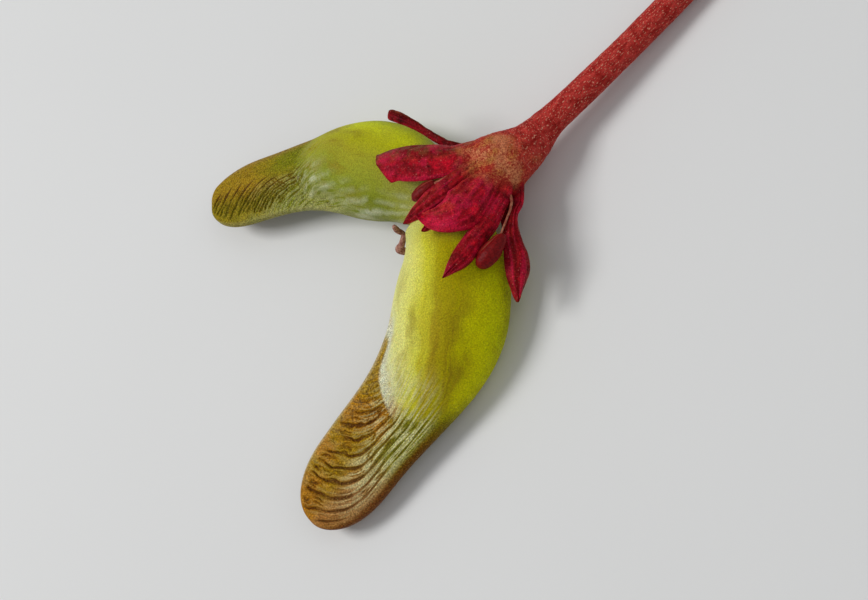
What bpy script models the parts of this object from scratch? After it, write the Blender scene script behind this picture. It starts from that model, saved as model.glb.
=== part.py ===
"""A young red maple samara, picked with its stalk and lying on a table.

Two winged seeds are joined at their bases. The flower's calyx still stands round that base, on
the end of a red stalk, and the withered style sits in the cleft between the wings.

Lengths are in millimetres until MM turns them into metres. The shapes are worked out in the
fruit's own frame: x = 0 at the cleft, +X along the stalk, z = 0 on the table. place_on_origin
then moves everything so that the origin is under the middle of the whole object.
"""

import math
from collections import namedtuple

import bmesh
import bpy
from mathutils import Matrix, Vector

MM = 0.001
TABLE = 0.0
JOINT_GAP = 0.1  # between neighbouring pieces; the object is only 21 mm long

# The seam between the two winged seeds.
SEAM_HEIGHT = 1.30
SEAM_Y = -0.25  # the smaller seed reaches a little over the fruit's middle
SEAM_START = Vector((1.45, 0.0))  # where both centrelines start
FRUIT_BASE = 2.75  # x of the fruit's flat base, against the calyx

# The winged seeds. The far one is smaller and turns further outwards at its tip.
SEEDS = {
    "winged_seed_near": {
        "side": -1,  # -Y, towards the viewer
        "length": 10.87,  # along the centreline, from the seam to the wing's tip
        "breadth": 1.0,  # as a share of the half breadths below
        "lean": 0.65,  # how far the nut's outline bulges outwards
        "seam_heading": 60.0,  # which way the centreline runs, in degrees off -X
        "tip_heading": 14.7,
    },
    "winged_seed_far": {
        "side": 1,
        "length": 9.33,
        "breadth": 0.86,
        "lean": 0.28,
        "seam_heading": 56.0,
        "tip_heading": 22.0,
    },
}

# Places along a seed are shares of its length, from 0 at the seam to 1 at the tip. Places across
# it run from -1 on the inner margin to 1 on the outer one. A pair of them says where a change
# begins and ends.
SEED_START = -0.22  # below 0, so that the seam's plane cuts through a whole section
HEADING_TURN = (0.0, 0.85)
LEAN_GROWS = (0.0, 0.20)
LEAN_ENDS = (0.30, 0.75)

# The outline.
WING_HALF_BREADTH = 1.33
NUT_SWELL = 0.50  # how much broader than the wing the outline is round the nut
NUT_SWELL_AT = 0.31
NUT_SWELL_REACH = 0.23
TIP_START = 0.78
TIP_POWER = 2.4  # how square the rounded tip is

# The plump seed, which is half of a lopsided ellipsoid on each face of the blade.
NUT_AT = 0.27
NUT_REACH = 0.36  # towards the wing
NUT_REACH_BACK = 0.46  # towards the seam
NUT_OFFSET = 0.2  # how far inside the centreline its middle lies
NUT_DRIFT = 0.7  # how far it bears towards the outer margin by its end
NUT_HALF_BREADTH = 2.3
NUT_HEIGHT = 1.34  # of its upper half
NUT_DEPTH = 1.23  # of its lower half, on which it rests
NUT_POWER = 0.7  # below 1 gives a flatter top and steeper sides
NUT_BLEND = 0.22  # how softly it runs out into the blade

# The blade, which is thickest along the outer margin and lies with that margin lower.
OUTER_HALF_THICKNESS = 0.38
INNER_HALF_THICKNESS = 0.30
SEAM_ROUNDING = 0.80  # the power that rounds the section's margins, lower for blunter ones
WING_ROUNDING = 0.55
ROUNDING_CHANGES = (0.0, 0.35)
WING_ROLL = 14.0  # degrees
ROLL_GROWS = (0.0, 0.50)
SEAM_RISE = 0.09  # the nuts' middle stands a little higher at the seam
RISE_ENDS = (0.0, 0.30)
SEAM_GROOVE = 0.55  # how much thinner a nut is right at the seam, which lies in a groove
SEAM_GROOVE_REACH = 1.3  # from the seam's plane
CLEFT_PINCH = 0.20  # how much narrower the inner side is by the cleft
PINCH_ENDS = (0.0, 0.22)
WING_DROOP = 0.50
DROOP_GROWS = (0.0, 1.20)

# The wing's veins. They leave the outer margin along the wing and curl towards the inner one.
WING_START = 0.30
VEINS = 15
VEIN_HEIGHT = 0.085
VEIN_SWEEP = 0.36  # how far forward a vein starts, as a share of what is left of the wing
VEIN_CURL = 2.6
SWEEP_GROWS = (-0.05, 0.35)
VEINS_GROW = (0.30, 0.42)
VEINS_END = (0.88, 1.0)
VEINS_LEAVE_INNER = (-0.97, -0.77)  # across the wing
VEINS_REACH_OUTER = (0.42, 0.92)

# How finely a winged seed is cut into facets.
NUT_RINGS = 12
RINGS_PER_VEIN = 3
TIP_RINGS = [0.993, 0.998]  # close together, where the outline turns round the tip
RING_POINTS = 28
CENTRE_STEPS = 24

# Tubes, as stations of x, y, z and radius. The receptacle narrows from the disc that carries
# the fruit to the stalk, and each stamen ends in a fat anther.
RECEPTACLE = [
    (2.85, -0.30, 1.44, 0.84),
    (2.95, -0.30, 1.44, 0.98),
    (3.15, -0.32, 1.42, 1.06),
    (3.60, -0.34, 1.37, 1.00),
    (4.10, -0.33, 1.27, 0.82),
    (4.60, -0.27, 1.14, 0.66),
    (5.10, -0.12, 1.04, 0.52),
]
STALK = [
    (5.20, -0.08, 1.02, 0.50),
    (5.60, 0.02, 0.96, 0.45),
    (6.25, 0.12, 0.90, 0.43),
    (7.80, 0.39, 0.75, 0.41),
    (9.40, 0.70, 0.62, 0.40),
    (11.5, 1.10, 0.50, 0.40),
    (14.0, 1.50, 0.40, 0.42),
]
STYLE_REMNANT = [
    (-0.09, -0.02, 1.78, 0.08),
    (-0.19, -0.02, 1.44, 0.10),
    (-0.16, -0.12, 1.24, 0.11),
    (-0.34, -0.32, 1.22, 0.12),
    (-0.52, -0.40, 1.18, 0.14),
    (-0.46, -0.47, 1.02, 0.12),
]
STAMENS = {
    "near_stamen": [
        (3.45, -1.15, 1.60, 0.12),
        (3.57, -1.76, 1.77, 0.12),
        (3.21, -2.29, 1.97, 0.12),
        (2.93, -2.64, 2.12, 0.14),
        (2.58, -2.88, 2.17, 0.24),
        (2.24, -2.98, 2.19, 0.30),
        (1.99, -3.02, 2.20, 0.23),
        (1.84, -3.01, 2.20, 0.10),
    ],
    "top_stamen": [
        (3.25, -0.22, 1.95, 0.12),
        (2.97, -0.32, 2.38, 0.12),
        (2.60, -0.41, 2.67, 0.12),
        (2.12, -0.34, 2.76, 0.14),
        (1.74, -0.27, 2.76, 0.22),
        (1.41, -0.27, 2.74, 0.22),
        (1.21, -0.28, 2.73, 0.10),
    ],
}
TUBE_SIDES = 16
STAMEN_SIDES = 8

# Sepals and petals: the way the back faces, how far the end slants towards one edge, and
# stations of x, y, z and half width along the middle line, from the root to the tip.
Petal = namedtuple("Petal", "facing slant stations")
PETALS = {
    "far_sliver": Petal((0.3, 0.7, 0.6), 0, [
        (3.20, 0.45, 1.70, 0.22),
        (2.75, 0.88, 1.91, 0.22),
        (2.29, 1.72, 2.13, 0.22),
        (1.85, 2.56, 2.27, 0.22),
        (1.61, 2.91, 2.31, 0.22),
    ]),
    "blunt_sepal": Petal((0.2, 0.2, 1.0), 0.26, [
        (3.32, 0.11, 2.09, 0.41),
        (2.78, 0.15, 2.51, 0.54),
        (2.29, 0.39, 2.74, 0.61),
        (1.76, 0.70, 2.88, 0.61),
        (1.31, 0.95, 2.96, 0.60),
        (0.97, 1.08, 3.00, 0.57),
        (0.84, 1.13, 3.01, 0.46),
    ]),
    "groove_petal": Petal((0.0, -0.2, 1.0), 0, [
        (3.17, -0.46, 2.33, 0.26),
        (2.55, -0.64, 2.63, 0.36),
        (1.91, -0.78, 2.86, 0.36),
        (1.41, -0.84, 2.94, 0.26),
        (1.01, -0.85, 2.91, 0.22),
        (0.71, -0.84, 2.81, 0.22),
    ]),
    "broad_sepal": Petal((0.2, -0.5, 0.9), 0, [
        (3.60, -0.80, 1.95, 0.30),
        (3.35, -1.00, 2.17, 0.35),
        (2.98, -1.26, 2.45, 0.55),
        (2.50, -1.55, 2.73, 0.64),
        (2.08, -1.57, 2.88, 0.51),
        (1.72, -1.41, 2.92, 0.37),
        (1.47, -1.16, 2.89, 0.22),
        (1.33, -0.96, 2.85, 0.22),
    ]),
    "tucked_petal": Petal((0.1, -0.3, 1.0), 0, [
        (3.20, -0.85, 2.00, 0.22),
        (2.27, -1.05, 2.54, 0.22),
        (1.89, -1.23, 2.72, 0.22),
        (1.54, -1.35, 2.84, 0.22),
        (1.10, -1.45, 2.88, 0.22),
    ]),
    "lance_petal": Petal((0.3, -0.4, 0.9), 0, [
        (3.60, -1.05, 1.75, 0.30),
        (3.42, -1.47, 1.88, 0.28),
        (3.09, -1.77, 2.02, 0.31),
        (2.65, -2.15, 2.21, 0.34),
        (2.12, -2.46, 2.41, 0.31),
        (1.65, -2.73, 2.57, 0.30),
        (1.32, -2.86, 2.67, 0.22),
        (0.94, -2.98, 2.72, 0.22),
    ]),
    "spoon_petal": Petal((0.8, 0.0, 0.6), 0, [
        (3.80, -1.05, 1.33, 0.32),
        (3.59, -1.75, 1.41, 0.22),
        (3.33, -2.01, 1.49, 0.22),
        (3.14, -2.31, 1.55, 0.22),
        (2.95, -2.78, 1.57, 0.31),
        (2.85, -3.15, 1.55, 0.38),
        (2.69, -3.52, 1.51, 0.39),
        (2.48, -3.79, 1.45, 0.31),
        (2.26, -4.05, 1.37, 0.22),
        (2.07, -4.28, 1.29, 0.22),
    ]),
    "lower_near_petal": Petal((0.3, -0.2, -1.0), 0, [
        (3.20, -0.95, 0.85, 0.22),
        (2.88, -1.50, 0.62, 0.34),
        (2.35, -2.10, 0.50, 0.22),
    ]),
    "lower_petal": Petal((0.2, 0.0, -1.0), 0, [
        (3.15, -0.35, 0.70, 0.26),
        (2.80, -0.38, 0.51, 0.36),
        (2.25, -0.40, 0.45, 0.22),
    ]),
    "lower_far_petal": Petal((0.3, 0.2, -1.0), 0, [
        (3.20, 0.25, 0.85, 0.22),
        (2.82, 0.85, 0.62, 0.30),
        (2.25, 1.40, 0.50, 0.22),
    ]),
}
PETAL_HALF_THICKNESS = 0.30
PETAL_CUP = 0.20  # how far the edges bend towards the fruit, as a share of the half width
PETAL_SIDES = 8


def step_between(t, start, end):
    """0 up to start, 1 from end, and an even S between."""
    t = min(1.0, max(0.0, (t - start) / (end - start)))
    return t * t * (3 - 2 * t)


def smooth_max(a, b, blend):
    """The larger of two numbers, with the step between them rounded off."""
    mix = min(1.0, max(0.0, 0.5 + (a - b) / (2 * blend)))
    return b + (a - b) * mix + blend * mix * (1 - mix)


def heading_at(share, seed):
    """Which way the centreline runs, in radians off -X."""
    turned = step_between(share, *HEADING_TURN)
    spread = seed["tip_heading"] - seed["seam_heading"]
    return math.radians(seed["seam_heading"] + spread * turned)


def centre_at(share, seed):
    """The centreline's point in plan, summed from the seam outwards, and its heading there."""
    point = SEAM_START.copy()
    for i in range(CENTRE_STEPS):
        heading = heading_at((i + 0.5) / CENTRE_STEPS * share, seed)
        step = Vector((-math.cos(heading), seed["side"] * math.sin(heading)))
        point += step * share * seed["length"] / CENTRE_STEPS
    return point, heading_at(share, seed)


def half_breadth_at(share):
    """Half the outline's width across the centreline, at full size."""
    swell = NUT_SWELL * math.exp(-(((share - NUT_SWELL_AT) / NUT_SWELL_REACH) ** 2))
    tip = 1.0
    if share > TIP_START:
        left = (share - TIP_START) / (1 - TIP_START)
        tip = math.sqrt(max(0.0, 1 - left**TIP_POWER))
    return (WING_HALF_BREADTH + swell) * tip


def half_thickness_at(share, across, breadth, nut_height):
    """From the middle of the blade out to the surface of the plump seed or of the blade itself,
    whichever is more."""
    reach = NUT_REACH if share > NUT_AT else NUT_REACH_BACK
    along_nut = (share - NUT_AT) / reach
    drift = NUT_DRIFT * max(0.0, along_nut)
    across_nut = (across * breadth + NUT_OFFSET - drift) / NUT_HALF_BREADTH
    inside = max(0.0, 1 - along_nut**2 - across_nut**2)
    nut = nut_height * inside**NUT_POWER
    ridge = (OUTER_HALF_THICKNESS - INNER_HALF_THICKNESS) * step_between(across, 0.0, 1.0)
    return smooth_max(nut, INNER_HALF_THICKNESS + ridge, NUT_BLEND)


def vein_relief(vein, across):
    """How high the veins stand: evenly spaced, strongest across the middle of the wing."""
    wing = step_between(vein, *VEINS_GROW) * (1 - step_between(vein, *VEINS_END))
    from_inner = step_between(across, *VEINS_LEAVE_INNER)
    to_outer = 1 - step_between(across, *VEINS_REACH_OUTER)
    turns = VEINS * (vein - WING_START) / (1 - WING_START)
    return VEIN_HEIGHT * wing * from_inner * to_outer * math.cos(2 * math.pi * turns)


def seed_point(seed, vein, angle):
    """A point on a winged seed. vein counts along the wing, following the veins, and angle goes
    round the section from the outer margin over the top to the inner one and back below."""
    across = math.cos(angle)
    curl = 1 - ((1 + across) / 2) ** VEIN_CURL
    sweep = VEIN_SWEEP * step_between(vein, *SWEEP_GROWS) * (1 - vein)
    share = min(1.0, vein + sweep * curl)
    plan, heading = centre_at(share, seed)
    breadth = half_breadth_at(share)
    leaning = step_between(share, *LEAN_GROWS) * (1 - step_between(share, *LEAN_ENDS))
    out = (seed["lean"] * leaning + breadth * across) * seed["breadth"]
    out += CLEFT_PINCH * (1 - step_between(share, *PINCH_ENDS)) * (1 - across) / 2
    nut_height = NUT_HEIGHT if math.sin(angle) > 0 else NUT_DEPTH
    thickness = half_thickness_at(share, across, breadth, nut_height) + vein_relief(vein, across)
    outward = Vector((math.sin(heading), seed["side"] * math.cos(heading)))
    from_seam = seed["side"] * (plan.y + outward.y * out - SEAM_Y)
    thickness *= 1 - SEAM_GROOVE * (1 - step_between(from_seam, 0.0, SEAM_GROOVE_REACH))
    changed = step_between(share, *ROUNDING_CHANGES)
    rounding = SEAM_ROUNDING + (WING_ROUNDING - SEAM_ROUNDING) * changed
    up = math.copysign(thickness * abs(math.sin(angle)) ** rounding, math.sin(angle))
    roll = math.radians(WING_ROLL) * step_between(share, *ROLL_GROWS)
    level = plan + outward * (out * math.cos(roll) + up * math.sin(roll))
    rise = SEAM_RISE * (1 - step_between(share, *RISE_ENDS))
    droop = WING_DROOP * step_between(share, *DROOP_GROWS)
    z = SEAM_HEIGHT + rise - droop - out * math.sin(roll) + up * math.cos(roll)
    return Vector((level.x, level.y, z))


def new_object(name, bm, collection):
    """Turns a bmesh into a smoothly shaded object and takes its place in a collection."""
    bmesh.ops.recalc_face_normals(bm, faces=bm.faces)
    mesh = bpy.data.meshes.new(name)
    bm.to_mesh(mesh)
    bm.free()
    mesh.shade_smooth()
    made = bpy.data.objects.new(name, mesh)
    collection.objects.link(made)
    return made


def loft(bm, rings, tip):
    """Joins rings of points with quads, caps the first, and closes the last on the tip."""
    made = [[bm.verts.new(point) for point in ring] for ring in rings]
    count = len(made[0])
    for first, second in zip(made, made[1:]):
        for i in range(count):
            j = (i + 1) % count
            bm.faces.new((first[i], first[j], second[j], second[i]))
    bm.faces.new(reversed(made[0]))
    end = bm.verts.new(tip)
    for i in range(count):
        bm.faces.new((made[-1][i], made[-1][(i + 1) % count], end))


def cut_flat(bm, point, normal):
    """Cuts away what lies on the normal's side of a plane and closes the cut."""
    geometry = bm.verts[:] + bm.edges[:] + bm.faces[:]
    bmesh.ops.bisect_plane(
        bm, geom=geometry, plane_co=point, plane_no=normal, dist=1e-5, clear_outer=True
    )
    open_edges = [edge for edge in bm.edges if edge.is_boundary]
    bmesh.ops.holes_fill(bm, edges=open_edges)


def winged_seed(name, seed, collection):
    """One half of the fruit: a plump seed whose wall runs out into a veined wing."""
    nut = [SEED_START + (WING_START - SEED_START) * i / NUT_RINGS for i in range(NUT_RINGS)]
    steps = VEINS * RINGS_PER_VEIN
    wing = [WING_START + (1 - WING_START) * i / steps for i in range(steps)]
    angles = [2 * math.pi * i / RING_POINTS for i in range(RING_POINTS)]
    veins = nut + wing + TIP_RINGS
    rings = [[seed_point(seed, vein, angle) for angle in angles] for vein in veins]
    bm = bmesh.new()
    loft(bm, rings, tip=seed_point(seed, 1.0, math.pi / 2))
    side = seed["side"]
    cut_flat(bm, Vector((0, SEAM_Y + side * JOINT_GAP / 2, 0)), Vector((0, -side, 0)))
    cut_flat(bm, Vector((FRUIT_BASE, 0, 0)), Vector((1, 0, 0)))
    cut_flat(bm, Vector((0, 0, TABLE)), Vector((0, 0, -1)))
    return new_object(name, bm, collection)


def tube(name, stations, sides, collection):
    """A tube with closed ends through stations of x, y, z and radius."""
    curve = bpy.data.curves.new(name, "CURVE")
    curve.dimensions = "3D"
    curve.bevel_depth = 1.0
    curve.bevel_resolution = (sides - 4) // 2
    curve.use_fill_caps = True
    spline = curve.splines.new("POLY")
    spline.points.add(len(stations) - 1)
    for point, (x, y, z, radius) in zip(spline.points, stations):
        point.co = (x, y, z, 1.0)
        point.radius = radius
    drawn = bpy.data.objects.new(name + "_curve", curve)
    collection.objects.link(drawn)
    bpy.context.view_layer.update()
    bm = bmesh.new()
    bm.from_mesh(bpy.data.meshes.new_from_object(drawn))
    bpy.data.objects.remove(drawn)
    bmesh.ops.remove_doubles(bm, verts=bm.verts, dist=1e-4)
    cut_flat(bm, Vector((0, 0, TABLE)), Vector((0, 0, -1)))
    return new_object(name, bm, collection)


def petal_ring(petal, number):
    """The oval section of a sepal or petal at one of its stations."""
    before = Vector(petal.stations[max(0, number - 1)][:3])
    after = Vector(petal.stations[number + 1][:3])
    forward = (after - before).normalized()
    across = forward.cross(Vector(petal.facing)).normalized()
    back = across.cross(forward)
    point = Vector(petal.stations[number][:3])
    width = petal.stations[number][3]
    slant = petal.slant * number / (len(petal.stations) - 1)
    ring = []
    for i in range(PETAL_SIDES):
        angle = 2 * math.pi * i / PETAL_SIDES
        sideways = width * math.cos(angle)
        up = PETAL_HALF_THICKNESS * math.sin(angle) - PETAL_CUP * width * math.cos(angle) ** 2
        ring.append(point + forward * slant * math.cos(angle) + across * sideways + back * up)
    return ring


def calyx(collection):
    """The receptacle with its sepals, petals and stamens, joined into one solid."""
    organs = bpy.data.collections.new("calyx_organs")
    organs.hide_render = True
    bpy.context.scene.collection.children.link(organs)
    for name, stations in STAMENS.items():
        tube(name, stations, STAMEN_SIDES, organs).display_type = "WIRE"
    for name, petal in PETALS.items():
        bm = bmesh.new()
        rings = [petal_ring(petal, number) for number in range(len(petal.stations) - 1)]
        loft(bm, rings, tip=Vector(petal.stations[-1][:3]))
        new_object(name, bm, organs).display_type = "WIRE"
    body = tube("calyx", RECEPTACLE, TUBE_SIDES, collection)
    union = body.modifiers.new("organs", "BOOLEAN")
    union.operation = "UNION"
    union.operand_type = "COLLECTION"
    union.collection = organs
    apply_modifiers(body)
    for organ in list(organs.objects):
        bpy.data.objects.remove(organ)
    bpy.data.collections.remove(organs)
    return body


def apply_modifiers(body):
    """Replaces an object's mesh by what its modifiers make of it."""
    bpy.context.view_layer.update()
    evaluated = body.evaluated_get(bpy.context.evaluated_depsgraph_get())
    body.data = bpy.data.meshes.new_from_object(evaluated)
    body.modifiers.clear()


def material(name, colour, roughness):
    """A plain Principled material."""
    made = bpy.data.materials.new(name)
    made.use_nodes = True
    shader = made.node_tree.nodes["Principled BSDF"]
    shader.inputs["Base Color"].default_value = (*colour, 1.0)
    shader.inputs["Roughness"].default_value = roughness
    shader.inputs["Metallic"].default_value = 0.0
    return made


def place_on_origin(collection):
    """Scales millimetres to metres and puts the origin under the middle of the whole object."""
    points = [vertex.co for body in collection.objects for vertex in body.data.vertices]
    low = Vector(min(point[axis] for point in points) for axis in range(3))
    high = Vector(max(point[axis] for point in points) for axis in range(3))
    middle = Vector(((low.x + high.x) / 2, (low.y + high.y) / 2, low.z))
    for body in collection.objects:
        body.data.transform(Matrix.Scale(MM, 4) @ Matrix.Translation(-middle))


def main():
    for old in list(bpy.data.objects):
        bpy.data.objects.remove(old)
    parts = bpy.data.collections.new("maple_samara")
    bpy.context.scene.collection.children.link(parts)
    green = material("green_seed", (0.42, 0.47, 0.06), 0.5)
    red = material("red_calyx", (0.42, 0.03, 0.05), 0.6)
    pink = material("pink_stalk", (0.45, 0.12, 0.09), 0.55)
    brown = material("withered_style", (0.32, 0.18, 0.13), 0.8)
    for name, seed in SEEDS.items():
        winged_seed(name, seed, parts).data.materials.append(green)
    calyx(parts).data.materials.append(red)
    tube("stalk", STALK, TUBE_SIDES, parts).data.materials.append(pink)
    tube("style_remnant", STYLE_REMNANT, STAMEN_SIDES, parts).data.materials.append(brown)
    place_on_origin(parts)


main()
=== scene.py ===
"""The looks of a young red maple samara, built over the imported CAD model.

Every piece is worked out in millimetres in the fruit's own frame (x = 0 at the cleft between the
wings, +X along the stalk, z = 0 on the table), with the sizes and formulas of the CAD source, and
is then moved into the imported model's frame.
"""

import math
from collections import namedtuple

import bmesh
import bpy
import numpy as np
from mathutils import Euler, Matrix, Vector, noise


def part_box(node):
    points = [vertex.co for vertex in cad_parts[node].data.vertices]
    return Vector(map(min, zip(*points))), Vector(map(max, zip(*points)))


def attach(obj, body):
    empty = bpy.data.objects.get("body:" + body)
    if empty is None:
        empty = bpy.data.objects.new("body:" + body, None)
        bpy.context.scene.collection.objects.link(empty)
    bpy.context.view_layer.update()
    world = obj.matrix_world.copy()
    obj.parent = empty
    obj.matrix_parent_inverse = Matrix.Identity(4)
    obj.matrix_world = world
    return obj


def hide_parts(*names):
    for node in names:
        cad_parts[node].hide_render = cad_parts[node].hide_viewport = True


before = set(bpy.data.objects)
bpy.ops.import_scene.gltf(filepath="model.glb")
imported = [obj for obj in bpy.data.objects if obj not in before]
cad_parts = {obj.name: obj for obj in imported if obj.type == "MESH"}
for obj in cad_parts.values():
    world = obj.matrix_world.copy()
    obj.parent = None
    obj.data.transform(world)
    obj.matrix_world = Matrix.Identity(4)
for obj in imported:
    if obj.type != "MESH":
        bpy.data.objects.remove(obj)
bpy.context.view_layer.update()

MM = 0.001

# The seam between the two winged seeds, and the plane that cuts them off at the base.
SEAM_HEIGHT = 1.30
SEAM_Y = -0.25
SEAM_START = 1.45
FRUIT_BASE = 2.75
JOINT_GAP = 0.1
SEAM_GAP = 0.02  # nearly closed, as the two halves have grown together

# The winged seeds. bend is how gently a vein turns towards the inner margin, vein_gap is the
# distance between main grooves along that margin, as a share of the length, and lane_grooves is
# how strong the grooves are in the lanes.
SEEDS = {
    "winged_seed_near": {
        "side": -1,
        "length": 10.87,
        "breadth": 1.0,
        "lean": 0.65,
        "seam_heading": 60.0,
        "tip_heading": 14.7,
        "bend": 0.036,
        "vein_gap": 0.042,
        "lane_grooves": 1.0,
    },
    "winged_seed_far": {
        "side": 1,
        "length": 9.33,
        "breadth": 0.86,
        "lean": 0.28,
        "seam_heading": 56.0,
        "tip_heading": 22.0,
        "bend": 0.048,
        "vein_gap": 0.034,
        "lane_grooves": 0.15,
    },
}

# The outline and the sections, as in the CAD source. Pairs say where a change begins and ends.
SEED_START = -0.22
HEADING_TURN = (0.0, 0.85)
LEAN_GROWS = (0.0, 0.20)
LEAN_ENDS = (0.30, 0.75)
WING_HALF_BREADTH = 1.33
NUT_SWELL = 0.50
NUT_SWELL_AT = 0.31
NUT_SWELL_REACH = 0.23
TIP_START = 0.78
TIP_POWER = 2.4
NUT_AT = 0.27
NUT_REACH = 0.36
NUT_REACH_BACK = 0.46
NUT_OFFSET = 0.2
NUT_DRIFT = 0.7
NUT_HALF_BREADTH = 2.3
NUT_HEIGHT = 1.34
NUT_DEPTH = 1.23
NUT_POWER = 0.7
NUT_BLEND = 0.22
OUTER_HALF_THICKNESS = 0.38
INNER_HALF_THICKNESS = 0.26
RIDGE_ACROSS = (-0.4, 1.0)
SEAM_ROUNDING = 0.80
WING_ROUNDING = 0.58
ROUNDING_CHANGES = (0.0, 0.35)
WING_ROLL = 14.0
ROLL_GROWS = (0.0, 0.50)
SEAM_RISE = 0.09
RISE_ENDS = (0.0, 0.30)
SEAM_GROOVE = 0.55
SEAM_GROOVE_REACH = 1.3
CLEFT_PINCH = 0.20
PINCH_ENDS = (0.0, 0.22)
WING_DROOP = 0.50
DROOP_GROWS = (0.0, 1.20)
WING_START = 0.30
ROW_SWEEP = 0.36
ROW_CURL = 2.6
SWEEP_GROWS = (-0.05, 0.35)
CENTRE_STEPS = 24

# The membrane runs up beside the nut along the inner margin.
MEMBRANE_ALONG = (0.30, 0.46)
MEMBRANE_ACROSS = (0.66, 0.92)

# Each vein runs in its own lane beside the outer margin and then turns to the inner one. A vein
# is known by the share of the length at which it meets the inner margin.
LANE_MEETS = 0.79
LANE_ACROSS = 0.05  # the lane of the vein that meets the inner margin there
LANE_SPREAD = 3.3  # how far apart lanes lie, for veins that meet the margin one length apart
GROOVE_DEPTH = 0.085
LANE_GROOVE_SHARE = 0.55  # grooves are shallower in the lanes
FIBRE_HEIGHT = 0.012
NET_DEPTH = 0.030
SWELL_HEIGHT = 0.03  # low unevenness of the nut
FOLD_HEIGHT = 0.06
RELIEF_ENDS = (0.965, 0.995)  # where grooves and fibres fade out before the tip
THIN_FROM = 0.965  # where the blade starts thinning out to its tip

# How finely things are cut.
NUT_ROWS = 110
WING_ROWS = 310
TIP_ROWS = 14
TIP_ROWS_FROM = 0.985
SEED_COLUMNS = 190
PETAL_ROWS = 140
PETAL_COLUMNS = 64

# Tubes, as stations of x, y, z and radius.
RECEPTACLE = [
    (2.80, -0.30, 1.44, 0.50),
    (2.90, -0.30, 1.44, 0.80),
    (3.05, -0.31, 1.43, 0.93),
    (3.30, -0.33, 1.41, 0.98),
    (3.60, -0.34, 1.37, 0.97),
    (4.10, -0.33, 1.27, 0.82),
    (4.60, -0.27, 1.14, 0.66),
    (5.10, -0.12, 1.04, 0.53),
    (5.24, -0.08, 1.02, 0.49),
]
STALK = [
    (5.02, -0.14, 1.05, 0.46),
    (5.20, -0.08, 1.02, 0.50),
    (5.60, 0.02, 0.96, 0.45),
    (6.25, 0.12, 0.90, 0.43),
    (7.80, 0.39, 0.75, 0.41),
    (9.40, 0.70, 0.62, 0.40),
    (11.5, 1.10, 0.50, 0.40),
    (14.0, 1.50, 0.40, 0.41),
]
STYLE_ARMS = {
    "style_hook": [
        (-0.09, -0.02, 1.78, 0.06),
        (-0.13, -0.02, 1.68, 0.08),
        (-0.19, -0.02, 1.44, 0.09),
        (-0.16, -0.12, 1.25, 0.08),
        (-0.34, -0.32, 1.22, 0.10),
        (-0.51, -0.40, 1.18, 0.13),
        (-0.46, -0.47, 1.02, 0.12),
        (-0.42, -0.49, 0.97, 0.07),
    ],
    "style_side_arm": [
        (-0.20, -0.14, 1.26, 0.07),
        (-0.06, -0.18, 1.22, 0.06),
        (0.12, -0.25, 1.16, 0.05),
    ],
}
FILAMENTS = {
    "near_filament": [
        (3.45, -1.15, 1.60, 0.10),
        (3.57, -1.70, 1.76, 0.045),
        (3.43, -2.03, 1.86, 0.035),
        (3.21, -2.29, 1.97, 0.03),
        (2.95, -2.59, 2.09, 0.03),
        (2.80, -2.76, 2.16, 0.03),
    ],
    "top_filament": [
        (3.25, -0.22, 1.95, 0.10),
        (2.97, -0.32, 2.38, 0.06),
        (2.60, -0.41, 2.67, 0.06),
        (2.15, -0.37, 2.77, 0.055),
        (1.98, -0.30, 2.78, 0.04),
    ],
}
ANTHERS = {
    "near_anther": [
        (2.96, -2.68, 2.10, 0.05),
        (2.88, -2.74, 2.12, 0.18),
        (2.58, -2.88, 2.15, 0.30),
        (2.24, -2.98, 2.17, 0.34),
        (1.98, -3.02, 2.18, 0.26),
        (1.84, -3.01, 2.18, 0.08),
    ],
    "top_anther": [
        (2.09, -0.29, 2.76, 0.05),
        (2.03, -0.29, 2.76, 0.14),
        (1.74, -0.28, 2.76, 0.21),
        (1.41, -0.27, 2.74, 0.20),
        (1.26, -0.28, 2.73, 0.13),
        (1.20, -0.28, 2.73, 0.05),
    ],
}

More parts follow.
